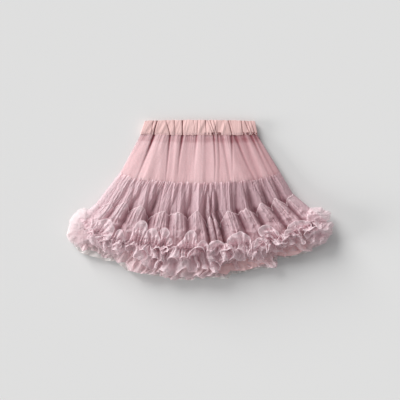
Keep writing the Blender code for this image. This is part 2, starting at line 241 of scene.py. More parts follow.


# painted light and shade: the fold attribute mixes the look's colours, lighter where a fold is lit, a
# painted highlight, and deeper in valleys and creases and away from the lamps, a painted shade; a random
# cloud of tone is added
def paintedShadeColour(tree, look):
    fold = addNode(tree, "Attribute", {"attribute_name": "fold"})
    place = addNode(tree, "TexCoord")
    cloud = addNode(tree, "TexNoise", {"Scale": look["cloudScale"], "Detail": 5.0, "Roughness": 0.75},
                    {"Vector": place.outputs["Object"]})
    shift = addNode(tree, "Math", {"operation": "MULTIPLY_ADD", 1: look["cloud"], 2: -look["cloud"] / 2},
                    {0: cloud.outputs["Fac"]})
    total = addNode(tree, "Math", {"operation": "ADD"}, {0: fold.outputs["Fac"], 1: shift.outputs[0]})
    share = addNode(tree, "Math", {"operation": "MULTIPLY", 1: look.get("reach", 1.0)},
                    {0: total.outputs[0]})
    deeper = addNode(tree, "Mix", {"data_type": "RGBA", 6: linear(look["light"]), 7: linear(look["deep"])},
                     {0: share.outputs[0]})
    negative = addNode(tree, "Math", {"operation": "MULTIPLY", "use_clamp": True, 1: -2.0},
                       {0: total.outputs[0]})
    return addNode(tree, "Mix", {"data_type": "RGBA", 7: linear(look.get("pale", look["light"]))},
                   {0: negative.outputs[0], 6: deeper.outputs[2]})


netLooks = {
    # Polyester net: a fine hexagonal mesh of matt yarn, dyed dusty mauve. It lets the layer below show
    # through and has a soft sheen. Each look's deep colour is painted shade for valleys, creases and the
    # side away from the lamps, and its pale colour is painted highlight for lit folds and rims.
    # The real mesh of 0.9 mm can't show at this distance, so it is drawn at 1.6 mm.
    "mauveNet": {"pale": "#ffedf1", "light": "#f8dce2", "deep": "#8a5663", "reach": 0.8, "cloud": 0.40,
                 "cloudScale": 60.0, "hole": 0.50, "yarn": 0.94, "cell": 1.6 * mm, "through": 0.34,
                 "crinkle": 2.4 * mm},
    "pinkNet": {"pale": "#ffe9ec", "light": "#f6e0e3", "deep": "#9c5964", "cloud": 0.26, "cloudScale": 45.0,
                "hole": 0.45, "yarn": 0.9, "cell": 1.6 * mm, "through": 0.30, "crinkle": 0.7 * mm},
    # the same net drawn darker, painted shade for the under tier that lies beneath the front
    "shadowNet": {"light": "#ecd0d5", "deep": "#a97a84", "cloud": 0.15, "cloudScale": 30.0,
                  "hole": 0.60, "yarn": 1.0, "cell": 1.6 * mm, "through": 0.30, "crinkle": 1.0 * mm},
    # the same net drawn lighter, painted light for the lit left end puff
    "paintedLitNet": {"pale": "#fdf3f4", "light": "#efe3e5", "deep": "#c99aa3", "cloud": 0.12, "cloudScale": 30.0,
                "hole": 0.55, "yarn": 0.95, "cell": 1.6 * mm, "through": 0.38, "crinkle": 1.2 * mm},
    "creamNet": {"light": "#fdf8f6", "deep": "#e4d8d3", "cloud": 0.10, "cloudScale": 25.0,
                 "hole": 0.70, "yarn": 0.97, "cell": 1.6 * mm, "through": 0.50, "crinkle": 1.0 * mm},
}


def makeNet(name):
    look = netLooks[name]
    material, tree = freshMaterial(name)
    colour = paintedShadeColour(tree, look)
    cloth = addNode(tree, "UVMap", {"uv_map": "cloth"})
    mesh = addNode(tree, "TexVoronoi", {"feature": "DISTANCE_TO_EDGE", "voronoi_dimensions": "2D",
                                        "Scale": 1 / look["cell"], "Randomness": 0.25},
                                        {"Vector": cloth.outputs[0]})
    yarn = addNode(tree, "MapRange", {"From Min": 0.08, "From Max": 0.22, "To Min": look["yarn"],
                                      "To Max": look["hole"]},
                   {"Value": mesh.outputs["Distance"]})
    weave = addNode(tree, "Bump", {"Strength": 0.35, "Distance": 0.2 * mm}, {"Height": yarn.outputs[0]})
    place = addNode(tree, "TexCoord")
    crinkle = addNode(tree, "TexNoise", {"Scale": 240.0, "Detail": 2.0},
                      {"Vector": place.outputs["Object"]})
    bump = addNode(tree, "Bump", {"Strength": 1.0, "Distance": look["crinkle"]},
                   {"Height": crinkle.outputs["Fac"], "Normal": weave.outputs[0]})
    fibre = addNode(tree, "BsdfPrincipled",
                    {"Roughness": 0.9, "IOR": 1.45, "Specular IOR Level": 0.12, "Sheen Weight": 0.35,
                     "Sheen Roughness": 0.45, "Sheen Tint": linear("#fbe9ea")},
                    {"Base Color": colour.outputs[2], "Normal": bump.outputs[0]})
    glow = addNode(tree, "BsdfTranslucent", {}, {"Color": colour.outputs[2]})
    lit = addNode(tree, "MixShader", {0: look["through"]}, {1: fibre.outputs[0], 2: glow.outputs[0]})
    clear = addNode(tree, "BsdfTransparent")
    seen = addNode(tree, "MixShader", {}, {0: yarn.outputs[0], 1: clear.outputs[0], 2: lit.outputs[0]})
    addNode(tree, "OutputMaterial", {}, {"Surface": seen.outputs[0]})
    return material


cottonLooks = {
    # Plain-woven cotton: matt, with a fine square weave of 0.5 mm yarns, drawn at 1.2 mm so that it shows.
    "peachCotton": {"light": "#f6cfcb", "deep": "#6a2628", "cloud": 0.10, "cloudScale": 40.0,
                    "yarn": 1.2 * mm},
    "roseCotton": {"light": "#f6cfcf", "deep": "#b97c80", "cloud": 0.10, "cloudScale": 25.0,
                   "yarn": 1.2 * mm},
}


def makeCotton(name):
    look = cottonLooks[name]
    material, tree = freshMaterial(name)
    colour = paintedShadeColour(tree, look)
    cloth = addNode(tree, "UVMap", {"uv_map": "cloth"})
    turns = 2 * math.pi / look["yarn"]
    parts = addNode(tree, "SeparateXYZ", {}, {0: cloth.outputs[0]})
    warp = addNode(tree, "Math", {"operation": "MULTIPLY", 1: turns}, {0: parts.outputs[0]})
    weft = addNode(tree, "Math", {"operation": "MULTIPLY", 1: turns}, {0: parts.outputs[1]})
    over = addNode(tree, "Math", {"operation": "SINE"}, {0: warp.outputs[0]})
    under = addNode(tree, "Math", {"operation": "SINE"}, {0: weft.outputs[0]})
    weave = addNode(tree, "Math", {"operation": "MULTIPLY"}, {0: over.outputs[0], 1: under.outputs[0]})
    bump = addNode(tree, "Bump", {"Strength": 0.35, "Distance": 0.15 * mm}, {"Height": weave.outputs[0]})
    fibre = addNode(tree, "BsdfPrincipled",
                    {"Roughness": 0.8, "IOR": 1.5, "Specular IOR Level": 0.3, "Sheen Weight": 0.2,
                     "Sheen Roughness": 0.5, "Sheen Tint": linear("#ffe9e4")},
                    {"Base Color": colour.outputs[2], "Normal": bump.outputs[0]})
    addNode(tree, "OutputMaterial", {}, {"Surface": fibre.outputs[0]})
    return material


threadLooks = {
    # Spun polyester thread: twisted, slightly lustrous. It is drawn a shade lighter than the net it
    # overlocks, a painted highlight along the rolled edges and seam rims that catch the light.
    "rolledEdge": {"light": "#f4dbe0", "deep": "#d6b2ba", "cloud": 0.3, "cloudScale": 60.0},
    "creamEdge": {"light": "#f7f0ec", "deep": "#e0d4ce", "cloud": 0.3, "cloudScale": 60.0},
    "seamThread": {"light": "#f0d8dc", "deep": "#cfa6ae", "cloud": 0.4, "cloudScale": 90.0},
}


def makeThread(name):
    material, tree = freshMaterial(name)
    colour = paintedShadeColour(tree, threadLooks[name])
    place = addNode(tree, "TexCoord")
    twist = addNode(tree, "TexWave", {"Scale": 300.0, "Distortion": 1.5},
                    {"Vector": place.outputs["Object"]})
    bump = addNode(tree, "Bump", {"Strength": 0.3, "Distance": 0.2 * mm}, {"Height": twist.outputs["Fac"]})
    fibre = addNode(tree, "BsdfPrincipled",
                    {"Roughness": 0.6, "IOR": 1.5, "Sheen Weight": 0.3, "Sheen Roughness": 0.4},
                    {"Base Color": colour.outputs[2], "Normal": bump.outputs[0]})
    addNode(tree, "OutputMaterial", {}, {"Surface": fibre.outputs[0]})
    return material


materials = {name: makeNet(name) for name in netLooks}
materials |= {name: makeCotton(name) for name in cottonLooks}
materials |= {name: makeThread(name) for name in threadLooks}
print("materials ready")


# Folds

def groove(distance, width):  # a sharp valley between two rounded gathers
    return 1 / (1 + (distance / width) ** 2) ** 1.3


def crease(distance, width):  # a narrow, crisp pinch
    return 1 / (1 + (distance / (0.85 * width)) ** 2) ** 1.8


def swell(distance, width):  # a soft rounded fold
    return np.exp(-(distance / width) ** 2)


def foldsAt(u, part, row, folds, profile=groove):
    # folds: (u at the top, u at the bottom, depth at the top, depth at the bottom, half width)
    total = np.zeros(np.broadcast(u, part).shape)
    for topU, bottomU, topDepth, bottomDepth, width in folds:
        distance = (u - (topU + (bottomU - topU) * part)) * halfLength(row)
        total = np.maximum(total, (topDepth + (bottomDepth - topDepth) * part) * profile(distance, width))
    return total


def foldsBetween(table, upper, lower):  # a table in millimetres: top x, bottom x, depths, half width
    made = []
    for topX, bottomX, topDepth, bottomDepth, width in table:
        shares = [np.interp(x * mm, seamShapes[row][1], seamShapes[row][0]) for x,
                  row in ((topX, upper), (bottomX, lower))]
        made.append((*shares, topDepth * mm, bottomDepth * mm, width * mm))
    return made


# Waistband: a cotton casing drawn up over its elastic into puckers

band = {
    "columns": 780, "rows": 24, "thickness": 1.6 * mm,
    # creases: x at the top and bottom, depth at the top and bottom, half width, all in mm
    "creases": (
        (-88, -92, 2.2, 2.6, 1.7), (-92, -87.5, 0.2, 2.4, 1.5), (-80.3, -87.2, 4.4, 5.4, 1.9),
        (-76.5, -80, 0.6, 0.2, 1.2), (-64.5, -56.6, 1.6, 4.2, 1.6), (-48.3, -46.9, 3.2, 2.6, 1.4),
        (-50.5, -49, 1.2, 0.6, 1.2), (-33.0, -32.6, 6.4, 4.6, 1.7), (-24, -27, 0.8, 0.4, 1.3),
        (-12, -10, 1.2, 0.5, 1.4), (-4.4, -5.6, 1.4, 2.2, 1.4), (1, 3, 0.8, 0.2, 1.2),
        (10.3, 12.7, 3.8, 0.6, 1.5), (14.6, 25, 1.2, 2.4, 1.3), (19.0, 29, 2.8, 1.6, 1.4),
        (26, 33, 2.6, 2.8, 1.3), (32, 34, 0.8, 1.6, 1.2), (44, 52, 0.8, 0.3, 1.4),
        (53.2, 60.5, 2.6, 4.4, 1.5), (57, 66, 1.0, 0.4, 1.2), (77.9, 82.5, 3.4, 2.4, 1.5),
        (84.5, 96, 3.0, 2.6, 1.3), (90.5, 99, 1.6, 3.0, 1.2), (96, 104, 1.8, 2.6, 1.3),
    ),
}


def makeBand():
    u = np.linspace(-1, 1, band["columns"] + 1)[None, :]
    part = np.concatenate([[0.0], np.linspace(0.008, 0.992, band["rows"] - 1), [1.0]])[:, None]
    row = part * 0.998
    folds = foldsBetween(band["creases"], waistTop, yokeTop)
    bend = u + 0.010 * np.sin(np.pi * part) * noise(u * 9, 10)
    dip = foldsAt(bend, part, row, folds, crease)
    flat = rounding(u, skirt["frontRounding"])
    x, y = plan(u, row)
    puff = noise(u * 17 + part * 1.5, 5)
    bulge = (np.sin(np.pi * part) * (1.0 + puff * 0.6) * mm + puff * 0.15 * mm
             + noise(u * 70 + part * 3, 6) * 0.12 * mm)
    z = frontHeight(u, row, 4.3 * mm) + (bulge - dip * 0.42 * (0.6 + 0.4 * np.sin(np.pi * part))) * flat
    y = y + (noise(u * 30, 7) * 0.5 - dip / mm * 0.12) * mm * np.where(part < 0.5, 1 - 2 * part, 0)
    y = y + (noise(u * 26, 19) * 0.4 + dip / mm * 0.14) * mm * smooth(part, 0.6, 1.0) * flat
    z = z - 0.6 * mm * smooth(part, 0.82, 1.0)  # the casing's lower edge is sewn flat onto the yoke
    tied = smooth(u, 0.06, 0.14) * (1 - smooth(u, 0.36, 0.40)) + smooth(u, 0.62, 0.66)
    puckerShade = np.exp(-((part - 0.90) / 0.06) ** 2) * tied * np.clip(noise(u * 62, 9) + 0.25, 0, 1)
    # painted light and shade: the cotton's dark deep colour fills the creases and the puckered line as
    # painted shade, the puffs are lighter as painted light, and the band darkens towards the right, away
    # from the lamps
    shade = 0.14 + (dip / (3.6 * mm)) ** 1.2 * 1.15 + puckerShade * 2.2 - puff * 0.09 + 0.10 * smooth(u, 0, 0.9)
    front = clothMesh("waistband_front_cotton", gridOf(x, y, z), materials["peachCotton"],
                      shade, band["thickness"])
    wear(front, ["waistband_front"])
    lift = (0.5 + 0.5 * noise(u * 30, 8)) * 1.0 * mm
    z = backHeight(u, row) + 0.9 * mm + lift * np.sin(np.pi * part)
    # the back is drawn a little towards its deep colour, lighter where it lifts: painted shade and light
    back = clothMesh("waistband_back_cotton", gridOf(x, y, z)[:, ::3], materials["peachCotton"],
                     np.broadcast_to(0.15 + lift / mm * -0.1, z.shape)[:, ::3], band["thickness"])
    wear(back, ["waistband_back"])
    # a row of small stitches holds the casing down
    stitches = []
    for share in np.arange(-0.97, 0.975, 0.032):
        ends = np.array([share - 0.009, share + 0.009])
        stitchX, stitchY = plan(ends, [0.90, 0.90])
        height = (frontHeight(ends, np.array([0.9, 0.9]), 4.3 * mm)
                  - foldsAt(ends, 0.9, 0.9, folds) * 0.35 * rounding(ends, 5.0) + 1.15 * mm)
        stitches.append(np.column_stack([stitchX, stitchY, height]))
    sewing = threadAlong("casing_stitches", stitches, 0.28 * mm, materials["seamThread"])
    wear(sewing)
    print("waistband", areaOf(front), areaOf(back))


# Yoke: net over the lining, in a few long soft folds

yoke = {
    "columns": 700, "rows": 60,
    # folds: x at the top and bottom, depth at the top and bottom, half width, all in mm
    "folds": (
        (-104, -147, 0.8, 0.3, 4.0), (-86.3, -118, 5.2, 1.2, 2.1), (-56.4, -64.5, 3.2, 0.9, 1.8),
        (-33.0, -42, 3.8, 0.3, 2.0), (-22, -24, 0.7, 0.3, 3.6), (-6.0, -12, 1.8, 0.0, 2.2),
        (10, 9, 0.5, 0.8, 3.6), (25.6, 28, 2.4, 0.9, 1.7), (33.5, 35.5, 1.3, 0.6, 2.0),
        (41, 57, 1.4, 1.1, 3.2), (59, 61, 2.6, 0.2, 1.9), (66, 103, 1.9, 1.4, 2.6),
        (82, 112, 0.6, 1.3, 4.2), (96, 132, 2.4, 1.1, 2.6), (103, 142, 1.5, 1.3, 2.4),
    ),
    # crests: broad light swells beside the folds
    "crests": (
        (-78, -104, 1.2, 1.8, 6.0), (-42, -50, 1.8, 0.6, 4.0), (-68, -78, 0.8, 0.8, 6.0),
        (48, 84, 0.6, 1.6, 8.0), (0, 0, 0.6, 0.8, 7.0), (88, 124, 1.2, 1.0, 4.0),
    ),
}


def yokeSurface(u, part):
    row = yokeTop + part
    bend = u + 0.012 * np.sin(np.pi * part) * noise(u * 7, 14)
    dip = foldsAt(bend, part, row, foldsBetween(yoke["folds"], yokeTop, middleTop), swell)
    crest = foldsAt(bend, part, row, foldsBetween(yoke["crests"], yokeTop, middleTop), swell)
    dip = dip * (1 - 0.35 * smooth(part, 0.2, 0.8))
    gather = noise(u * 60 + part * 3, 11) * (0.45 * np.exp(-part * 7) + 0.25 * np.exp((part - 1) * 8)) * mm
    soft = noise(u * 12 + part, 12) * 0.5 * mm
    return row, dip, gather + soft + crest * 0.6


def makeYoke():
    u = np.linspace(-1, 1, yoke["columns"] + 1)[None, :]
    part = np.concatenate([[-0.03, -0.006, -0.001], np.linspace(0.004, 1.01, yoke["rows"] - 2)])[:, None]
    row, dip, ripple = yokeSurface(u, part)
    flat = rounding(u, skirt["frontRounding"])
    x, y = plan(u, row)
    tucked = 1.4 * mm * smooth(-part, 0.005, 0.02)  # its top edge goes under the waistband
    z = (frontHeight(u, row) + (ripple * 1.3 - dip * 0.62) * flat - tucked
         + 0.35 * mm * smooth(part, -0.005, 0.0) * smooth(-part, -0.3, -0.05))
    top = smooth(-part, -0.5, 0.05)
    # the lining's allowance shows through
    veil = smooth(-part - 0.02 * noise(u * 9, 18), -0.19, -0.13) * (0.9 + 0.4 * noise(u * 20, 15))
    line = np.exp(-((part - 0.085) / 0.022) ** 2) * smooth(u, 0.06, 0.16) * (0.6 + 0.6 * noise(u * 60, 17))
    seam = smooth(part, 0.90, 1.0) * (0.5 + 0.9 * noise(u * 110, 16))
    # painted light and shade: darker in the folds, most at the top, and towards the right, away from the
    # lamps; lighter on raised ripples and towards the left; veil, seam and line make it deeper along the
    # allowance, the seam and a line below the band
    shade = (0.13 + (dip / (3.2 * mm)) ** 1.1 * (0.45 + 0.55 * top) + 0.31 * smooth(u, 0.0, 0.9)
             + 0.27 * veil + 0.12 * seam + 0.22 * line)
    shade = shade - 0.10 * smooth(-u, 0.3, 0.8) - ripple / (6 * mm)
    front = clothMesh("yoke_front_net", gridOf(x, y, z), materials["pinkNet"], shade)
    wear(front, ["yoke_front"])
    lift = (0.5 + 0.5 * noise(u * 24 + part, 13)) * 0.7 * mm
    # the back is drawn partly towards its deep colour: painted shade, as it lies underneath
    back = clothMesh("yoke_back_net", gridOf(x, y, backHeight(u, row) + 0.1 * mm + lift)[::2, ::2],
                     materials["pinkNet"], np.full(z.shape, 0.3)[::2, ::2])
    wear(back, ["yoke_back"])
    print("yoke", areaOf(front), areaOf(back))


# Middle and lower tiers. Each is gathered into the seam above it, so its folds open downwards.
# Between the folds the seam of the lower tier dips deep towards the hem, and each fold stands over it
# like a petal.

tiers = {
    "columns": 1200, "rows": 44,
    # the lower tier's seam: x in mm, how many rows lower than the plain seam, and how deep it dips in mm.
    # It stands up on the folds, where the dip is 0, and falls back between them.
    "petals": (
        (-196, 0.00, 0), (-187, 0.02, 3), (-177, -0.19, 0), (-163, -0.02, 8), (-151, -0.28, 0),
        (-134, 0.02, 13), (-116, -0.22, 0), (-94, 0.34, 18), (-70, -0.04, 0), (-57, 0.14, 6),
        (-41, 0.00, 0), (-24, 0.36, 13), (-5, -0.05, 0), (8, 0.68, 20), (15.5, 0.26, 3), (19.5, 0.44, 10),
        (24, 0.36, 3), (29, 0.72, 20), (50, 0.08, 0), (67, 0.30, 9), (84, 0.06, 0), (97, 0.46, 16),
        (115, -0.05, 0), (127, 0.38, 14), (143, -0.14, 0), (154, 0.34, 12), (166, -0.02, 0),
        (174, 0.10, 3),
    ),
    # the middle tier's narrow valleys: x at the yoke's seam and at the tier's seam, depths, half width
    "valleys": (
        (-143, -178, 2.5, 6.5, 2.2), (-138, -171, 1.5, 3.0, 1.4), (-127, -154, 3.2, 6.0, 2.0),
        (-121, -148, 1.6, 3.0, 1.2), (-119, -131, 4.4, 8.0, 2.6), (-107, -120, 2.2, 3.5, 1.6),
        (-90, -101, 4.2, 9.0, 2.4), (-78.5, -89, 4.4, 7.0, 2.6), (-66.5, -78, 4.2, 5.0, 1.8),
        (-50, -58, 2.4, 2.0, 1.5), (-39.5, -43, 2.6, 2.5, 1.6), (-26, -28, 4.6, 9.0, 3.0),
        (-14.5, -19, 2.6, 6.0, 1.8), (5, 11, 3.6, 7.0, 1.6), (14.8, 23, 4.4, 9.0, 2.0),
        (26.5, 34, 5.0, 9.0, 2.8), (37, 42, 1.8, 2.0, 1.4), (48.6, 50, 2.0, 2.6, 1.4),
        (59, 62, 3.4, 4.0, 1.6), (69, 68, 3.4, 5.0, 1.8), (78.3, 94, 4.4, 8.0, 2.6),
        (89.3, 99, 2.4, 6.0, 1.8), (97.7, 122, 3.8, 5.0, 2.0), (109.8, 128, 5.0, 8.0, 3.4),
        (119, 140, 2.4, 4.0, 2.0), (126.7, 150, 3.4, 6.0, 2.0), (133.6, 157, 4.4, 9.0, 2.6),
        (143, 167, 2.0, 4.0, 2.0),
    ),
    # pinched gathers that stand up as thin bright lines: x at the two seams, heights, half width
    "pinches": (
        (-132, -163, 1.4, 1.0, 1.2), (-112, -126, 1.8, 1.0, 1.2), (-96, -108, 1.4, 1.2, 1.3),
        (-84, -95, 1.4, 0.6, 1.1), (-63, -76, 2.2, 1.6, 1.3), (-47, -53, 2.8, 1.6, 1.4),
        (-34, -37, 1.4, 1.0, 1.2), (-20, -23, 1.6, 0.8, 1.1), (-1.4, -3.0, 5.0, 4.6, 2.6),
        (10, 18, 2.4, 1.6, 1.3), (20.5, 29, 1.8, 0.8, 1.1), (30, 37, 2.4, 2.0, 1.3),
        (42, 40, 2.4, 2.0, 1.3), (53.6, 56.5, 2.4, 2.0, 1.4), (64, 65, 1.6, 1.0, 1.2),
        (78.7, 86.5, 2.4, 1.8, 1.3), (84, 90, 1.4, 1.0, 1.1), (104, 115, 1.6, 1.0, 1.2),
        (114.5, 133, 2.2, 1.6, 1.4), (124.8, 147, 2.8, 2.2, 1.5), (140.4, 168, 2.6, 2.0, 1.6),
    ),
}


petalU = np.array([np.interp(x * mm, seamShapes[lowerTop][1], seamShapes[lowerTop][0])
                   for x, drop, dip in tiers["petals"]])
petalU[0], petalU[-1] = -1.0, 1.0
petalRow = np.array([lowerTop + drop for x, drop, dip in tiers["petals"]])
petalDip = np.array([dip * mm for x, drop, dip in tiers["petals"]])


def petalAt(u):
    # the seam's row, the dip of the gap beside it, and how far u is from that gap's middle,
    # which is 1 on a petal's tip
    index = np.clip(np.searchsorted(petalU, u, side="right") - 1, 0, len(petalU) - 2)
    share = np.clip((u - petalU[index]) / (petalU[index + 1] - petalU[index]), 0, 1)
    gapFirst = petalDip[index] > petalDip[index + 1]
    gap = np.where(gapFirst, index, index + 1)
    tip = np.where(gapFirst, index + 1, index)
    fromGap = np.where(gapFirst, share, 1 - share)
    curve = np.interp(fromGap, (0, 0.16, 0.48, 0.80, 1), (1, 0.62, 0.34, 0.12, 0))  # angular shoulders
    uneven = 0.030 * noise(u * 34, 24) + 0.010 * noise(u * 90, 25)
    return petalRow[tip] + (petalRow[gap] - petalRow[tip]) * curve + uneven, petalDip[gap], fromGap


def makeTiers():
    u = np.linspace(-1, 1, tiers["columns"] + 1)[None, :]
    flat = rounding(u, skirt["frontRounding"])
    seamRow, gapDip, fromGap = petalAt(u)
    gapCurve = (1 - fromGap) ** 2.4

    # middle tier
    part = np.linspace(0, 1, tiers["rows"] + 1)[:, None]
    # the gathers' tops stand a little over the yoke's edge
    start = middleTop - 0.010 + 0.026 * noise(u * 52, 23)
    row = start + (seamRow - start - 0.004) * part
    valleys = foldsBetween(tiers["valleys"], middleTop, lowerTop)
    pinches = foldsBetween(tiers["pinches"], middleTop, lowerTop)
    down = row - middleTop
    dip = (foldsAt(u, down, row, valleys) * (0.16 + 0.46 * smooth(down, 0.0, 0.16))
           * (1 - 0.25 * smooth(-u, 0.3, 0.7)))
    dip = dip * (1 - 0.22 * smooth(u, 0.12, 0.35))
    ridge = foldsAt(u, down, row, pinches) * 0.8
    gather = (noise(u * 95 + down * 2, 21) * (1.1 * np.exp(-down * 4) + 0.30)
              + noise(u * 48 - down * 3, 22) * 0.5) * mm
    opening = smooth(down, 0.0, 0.9)
    z = frontHeight(u, row) + (ridge + gather - dip - gapDip * gapCurve * opening) * flat
    z = z + 0.5 * mm * smooth(-down, -0.03, 0.0)
    line = np.clip(1 - np.abs(noise(u * 46 + down * 1.2, 26)) / 0.12, 0, 1) * smooth(down, 0.02, 0.2)
    x, y = plan(u, row)
    # painted light and shade: darker in the valleys, the gaps and along thin crease lines, lighter on
    # pinches and raised gathers, darker towards the right and lighter towards the left, as the lamps fall
    total = (dip / (7 * mm) + gapDip * gapCurve * opening / (13 * mm) - ridge / (3 * mm)
             - gather / (4 * mm) * (1 + 1.2 * np.exp(-np.abs(down) * 14)))
    # painted shade at the foot of each gap between the petals
    gapShade = gapCurve * smooth(part, 0.72, 1.0) * np.clip(gapDip / (10 * mm), 0, 1)
    shade = (0.12 + 0.18 * line + 0.36 * np.clip(total, -0.6, 1) + 0.34 * smooth(u, 0.0, 0.6)
             - 0.42 * smooth(-u, 0.40, 0.9))
    # lighter just under the yoke's seam, a painted highlight, and deepest in the gaps, a painted shade
    shade = shade - 0.20 * smooth(-down, -0.08, 0.0) + 1.25 * gapShade
    middle = clothMesh("middle_tier_front_net", gridOf(x, y, z), materials["mauveNet"], shade)
    wear(middle, ["middle_tier_front"])

    # lower tier, from the dipping seam to the frill's gathering line
    row = seamRow - 0.02 + (frillTop + 0.22 - seamRow + 0.02) * part
    puff = np.sin(np.clip(fromGap, 0, 1) * np.pi / 2) ** 0.8
    rise = np.sin(np.pi * part ** 0.7) * 2.6 * mm * puff + 4.0 * mm * puff * (1 - smooth(part, 0.0, 0.45))
    facet = np.interp(fromGap + 0.10 * noise(u * 20, 39), (0, 0.2, 0.46, 0.60, 0.84, 1),
                      (0, 0.5, 2.0, 0.0, 1.6, 0.2))
    facet = facet * (1 - 0.5 * smooth(part, 0.3, 0.9)) * np.clip(gapDip / (8 * mm), 0.3, 1)
    valley = gapDip * (1 - fromGap) ** (1.8 + 2.2 * part) * (1 - 0.30 * part)
    pleat = (noise(u * 66 + part * 1.5, 31) * (1.1 - 0.5 * part)
             + noise(u * 130 - part * 2, 32) * 0.8 * np.exp(-part * 2))
    crumpled = noise(u * 26 + part * 5, 33) * smooth(part, 0.1, 0.8) * 2.0
    tuck = np.maximum(0, noise(u * 44 + part * 1.2, 34) - 0.35) * (3.4 - 1.4 * smooth(u, 0.2, 0.5))
    x, y = plan(u, row)
    creased = wrinkles(x, y, 37) * (0.15 + 0.55 * smooth(part, 0.1, 0.7)) * (1 + 0.5 * smooth(-u, 0.2, 0.6))
    z = frontHeight(u, row) + (rise - valley + (pleat + crumpled - tuck + facet) * mm + creased) * flat
    # painted light and shade: darker in the valleys and tucks and along thin crease lines, lighter on
    # pleats, swells and crumpled ridges, and varied across the width as the lamps fall
    total = valley / (6 * mm) + tuck / 4.0 - pleat * 0.16 - rise / (9 * mm) + (0.6 - facet) * 0.16
    shade = (0.11 + 0.60 * np.clip(total, -0.5, 1.6) + 0.20 * smooth(u, 0.0, 0.4)
             - 0.12 * smooth(u, 0.5, 0.8) - 0.42 * smooth(-u, 0.40, 0.9))
    line = np.clip(1 - np.abs(noise(u * 40 + part * 0.8, 38)) / 0.13, 0, 1) * smooth(part, 0.04, 0.3)
    shade = shade + 0.26 * line - 0.05 * creased / mm
    # a painted highlight along the petals' rims at the top
    shade = shade - 0.32 * (1 - smooth(part, 0.0, 0.11)) * smooth(fromGap, 0.05, 0.4)
    lower = clothMesh("lower_tier_front_net", gridOf(x, y, z), materials["mauveNet"], shade)
    wear(lower, ["lower_tier_front"])

    # the seam's own gathered allowance, a thin line that follows every petal, in the light seam thread as a
    # painted highlight on the petals' rims
    uLine = np.linspace(-0.995, 0.995, 1400)
    lineRow, lineDip, lineGap = petalAt(uLine)
    lineX, lineY = plan(uLine, lineRow - 0.02)
    below = foldsAt(uLine, lineRow - middleTop, lineRow, valleys)
    lineZ = (frontHeight(uLine, lineRow) - (lineDip * (1 - lineGap) ** 1.8 + below * 0.2)
             * rounding(uLine, 5.0))
    lineZ = lineZ + 0.9 * mm + 4.0 * mm * np.sin(lineGap * np.pi / 2) ** 0.8
    wiggle = noise(uLine * 150, 35) * 0.5 * mm
    rim = threadAlong("tier_seam_rim", [np.column_stack([lineX, lineY + wiggle, lineZ
                                                         + noise(uLine * 90, 36) * 0.4 * mm])],
                      0.6 * mm, materials["seamThread"])
    wear(rim)
    print("tiers", areaOf(middle), areaOf(lower))

    # the two back tiers lie on the table
    part = np.linspace(0, 1, 15)[:, None]
    u = np.linspace(-1, 1, 501)[None, :]
    for name, top, seed, cut in (("middle_tier_back", middleTop, 41, (0.40, 0.057)),
                                 ("lower_tier_back", lowerTop, 42, (0.47, 0.045))):
        row = top + 0.01 + 0.98 * part
        lift = np.abs(noise(u * 50 + part, seed)) * (1.6 - 0.6 * part) * mm
        x, y = plan(u, row)
        # drawn partly towards the net's deep colour as painted shade, and lighter where the net lifts as
        # painted light
        back = clothMesh(name + "_net", gridOf(x, y, backHeight(u, row) + 0.1 * mm + lift),
                         materials["mauveNet"], np.broadcast_to(0.45 - lift / (3 * mm), lift.shape))
        wear(back, [name])
        print(name, areaOf(back))


# how far down the hem reaches, as (x in mm, row): it draws in between the frill's lobes
hemRows = (
    (-250, 5.02), (-227, 5.05), (-198, 4.96), (-164, 4.84), (-130, 5.02), (-96, 5.00), (-63, 4.99),
    (-11, 5.02), (25, 5.00), (52, 5.03), (60, 4.91), (91, 4.89), (119, 4.88), (135, 4.93), (153, 4.76),
    (166, 4.80), (186, 4.84), (208, 4.87), (226, 4.88), (237, 4.92), (250, 5.02),
)


def hemRow(u):
    shares = [np.interp(x * mm, seamShapes[hem][1], seamShapes[hem][0]) for x, row in hemRows]
    return np.interp(u, shares, [row for x, row in hemRows])


# Inner layers: the room between the back's gathers and the front's valleys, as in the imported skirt

inner = {
    "backTop": (0.0040, 0.0024, 0.0024, 0.0024, 0.0026, 0.0108),
    "frontDip": (0.0035, 0.0027, 0.0028, 0.0080, 0.0075, 0.0080),
    "underShare": (0.7, 0.7, 0.80, 0.42, 0.50, 0.60),
    "liningFront": (0.80, 0.80, 0.34, 0.20, 0.18, 0.45),
    "liningBack": (0.10, 0.10, 0.12, 0.08, 0.08, 0.09),
}


def between(u, row, shares):
    floor = backHeight(u, row) + byRow(inner["backTop"], row)
    ceiling = frontHeight(u, row) - byRow(inner["frontDip"], row)
    return floor + byRow(shares, row) * (ceiling - floor)


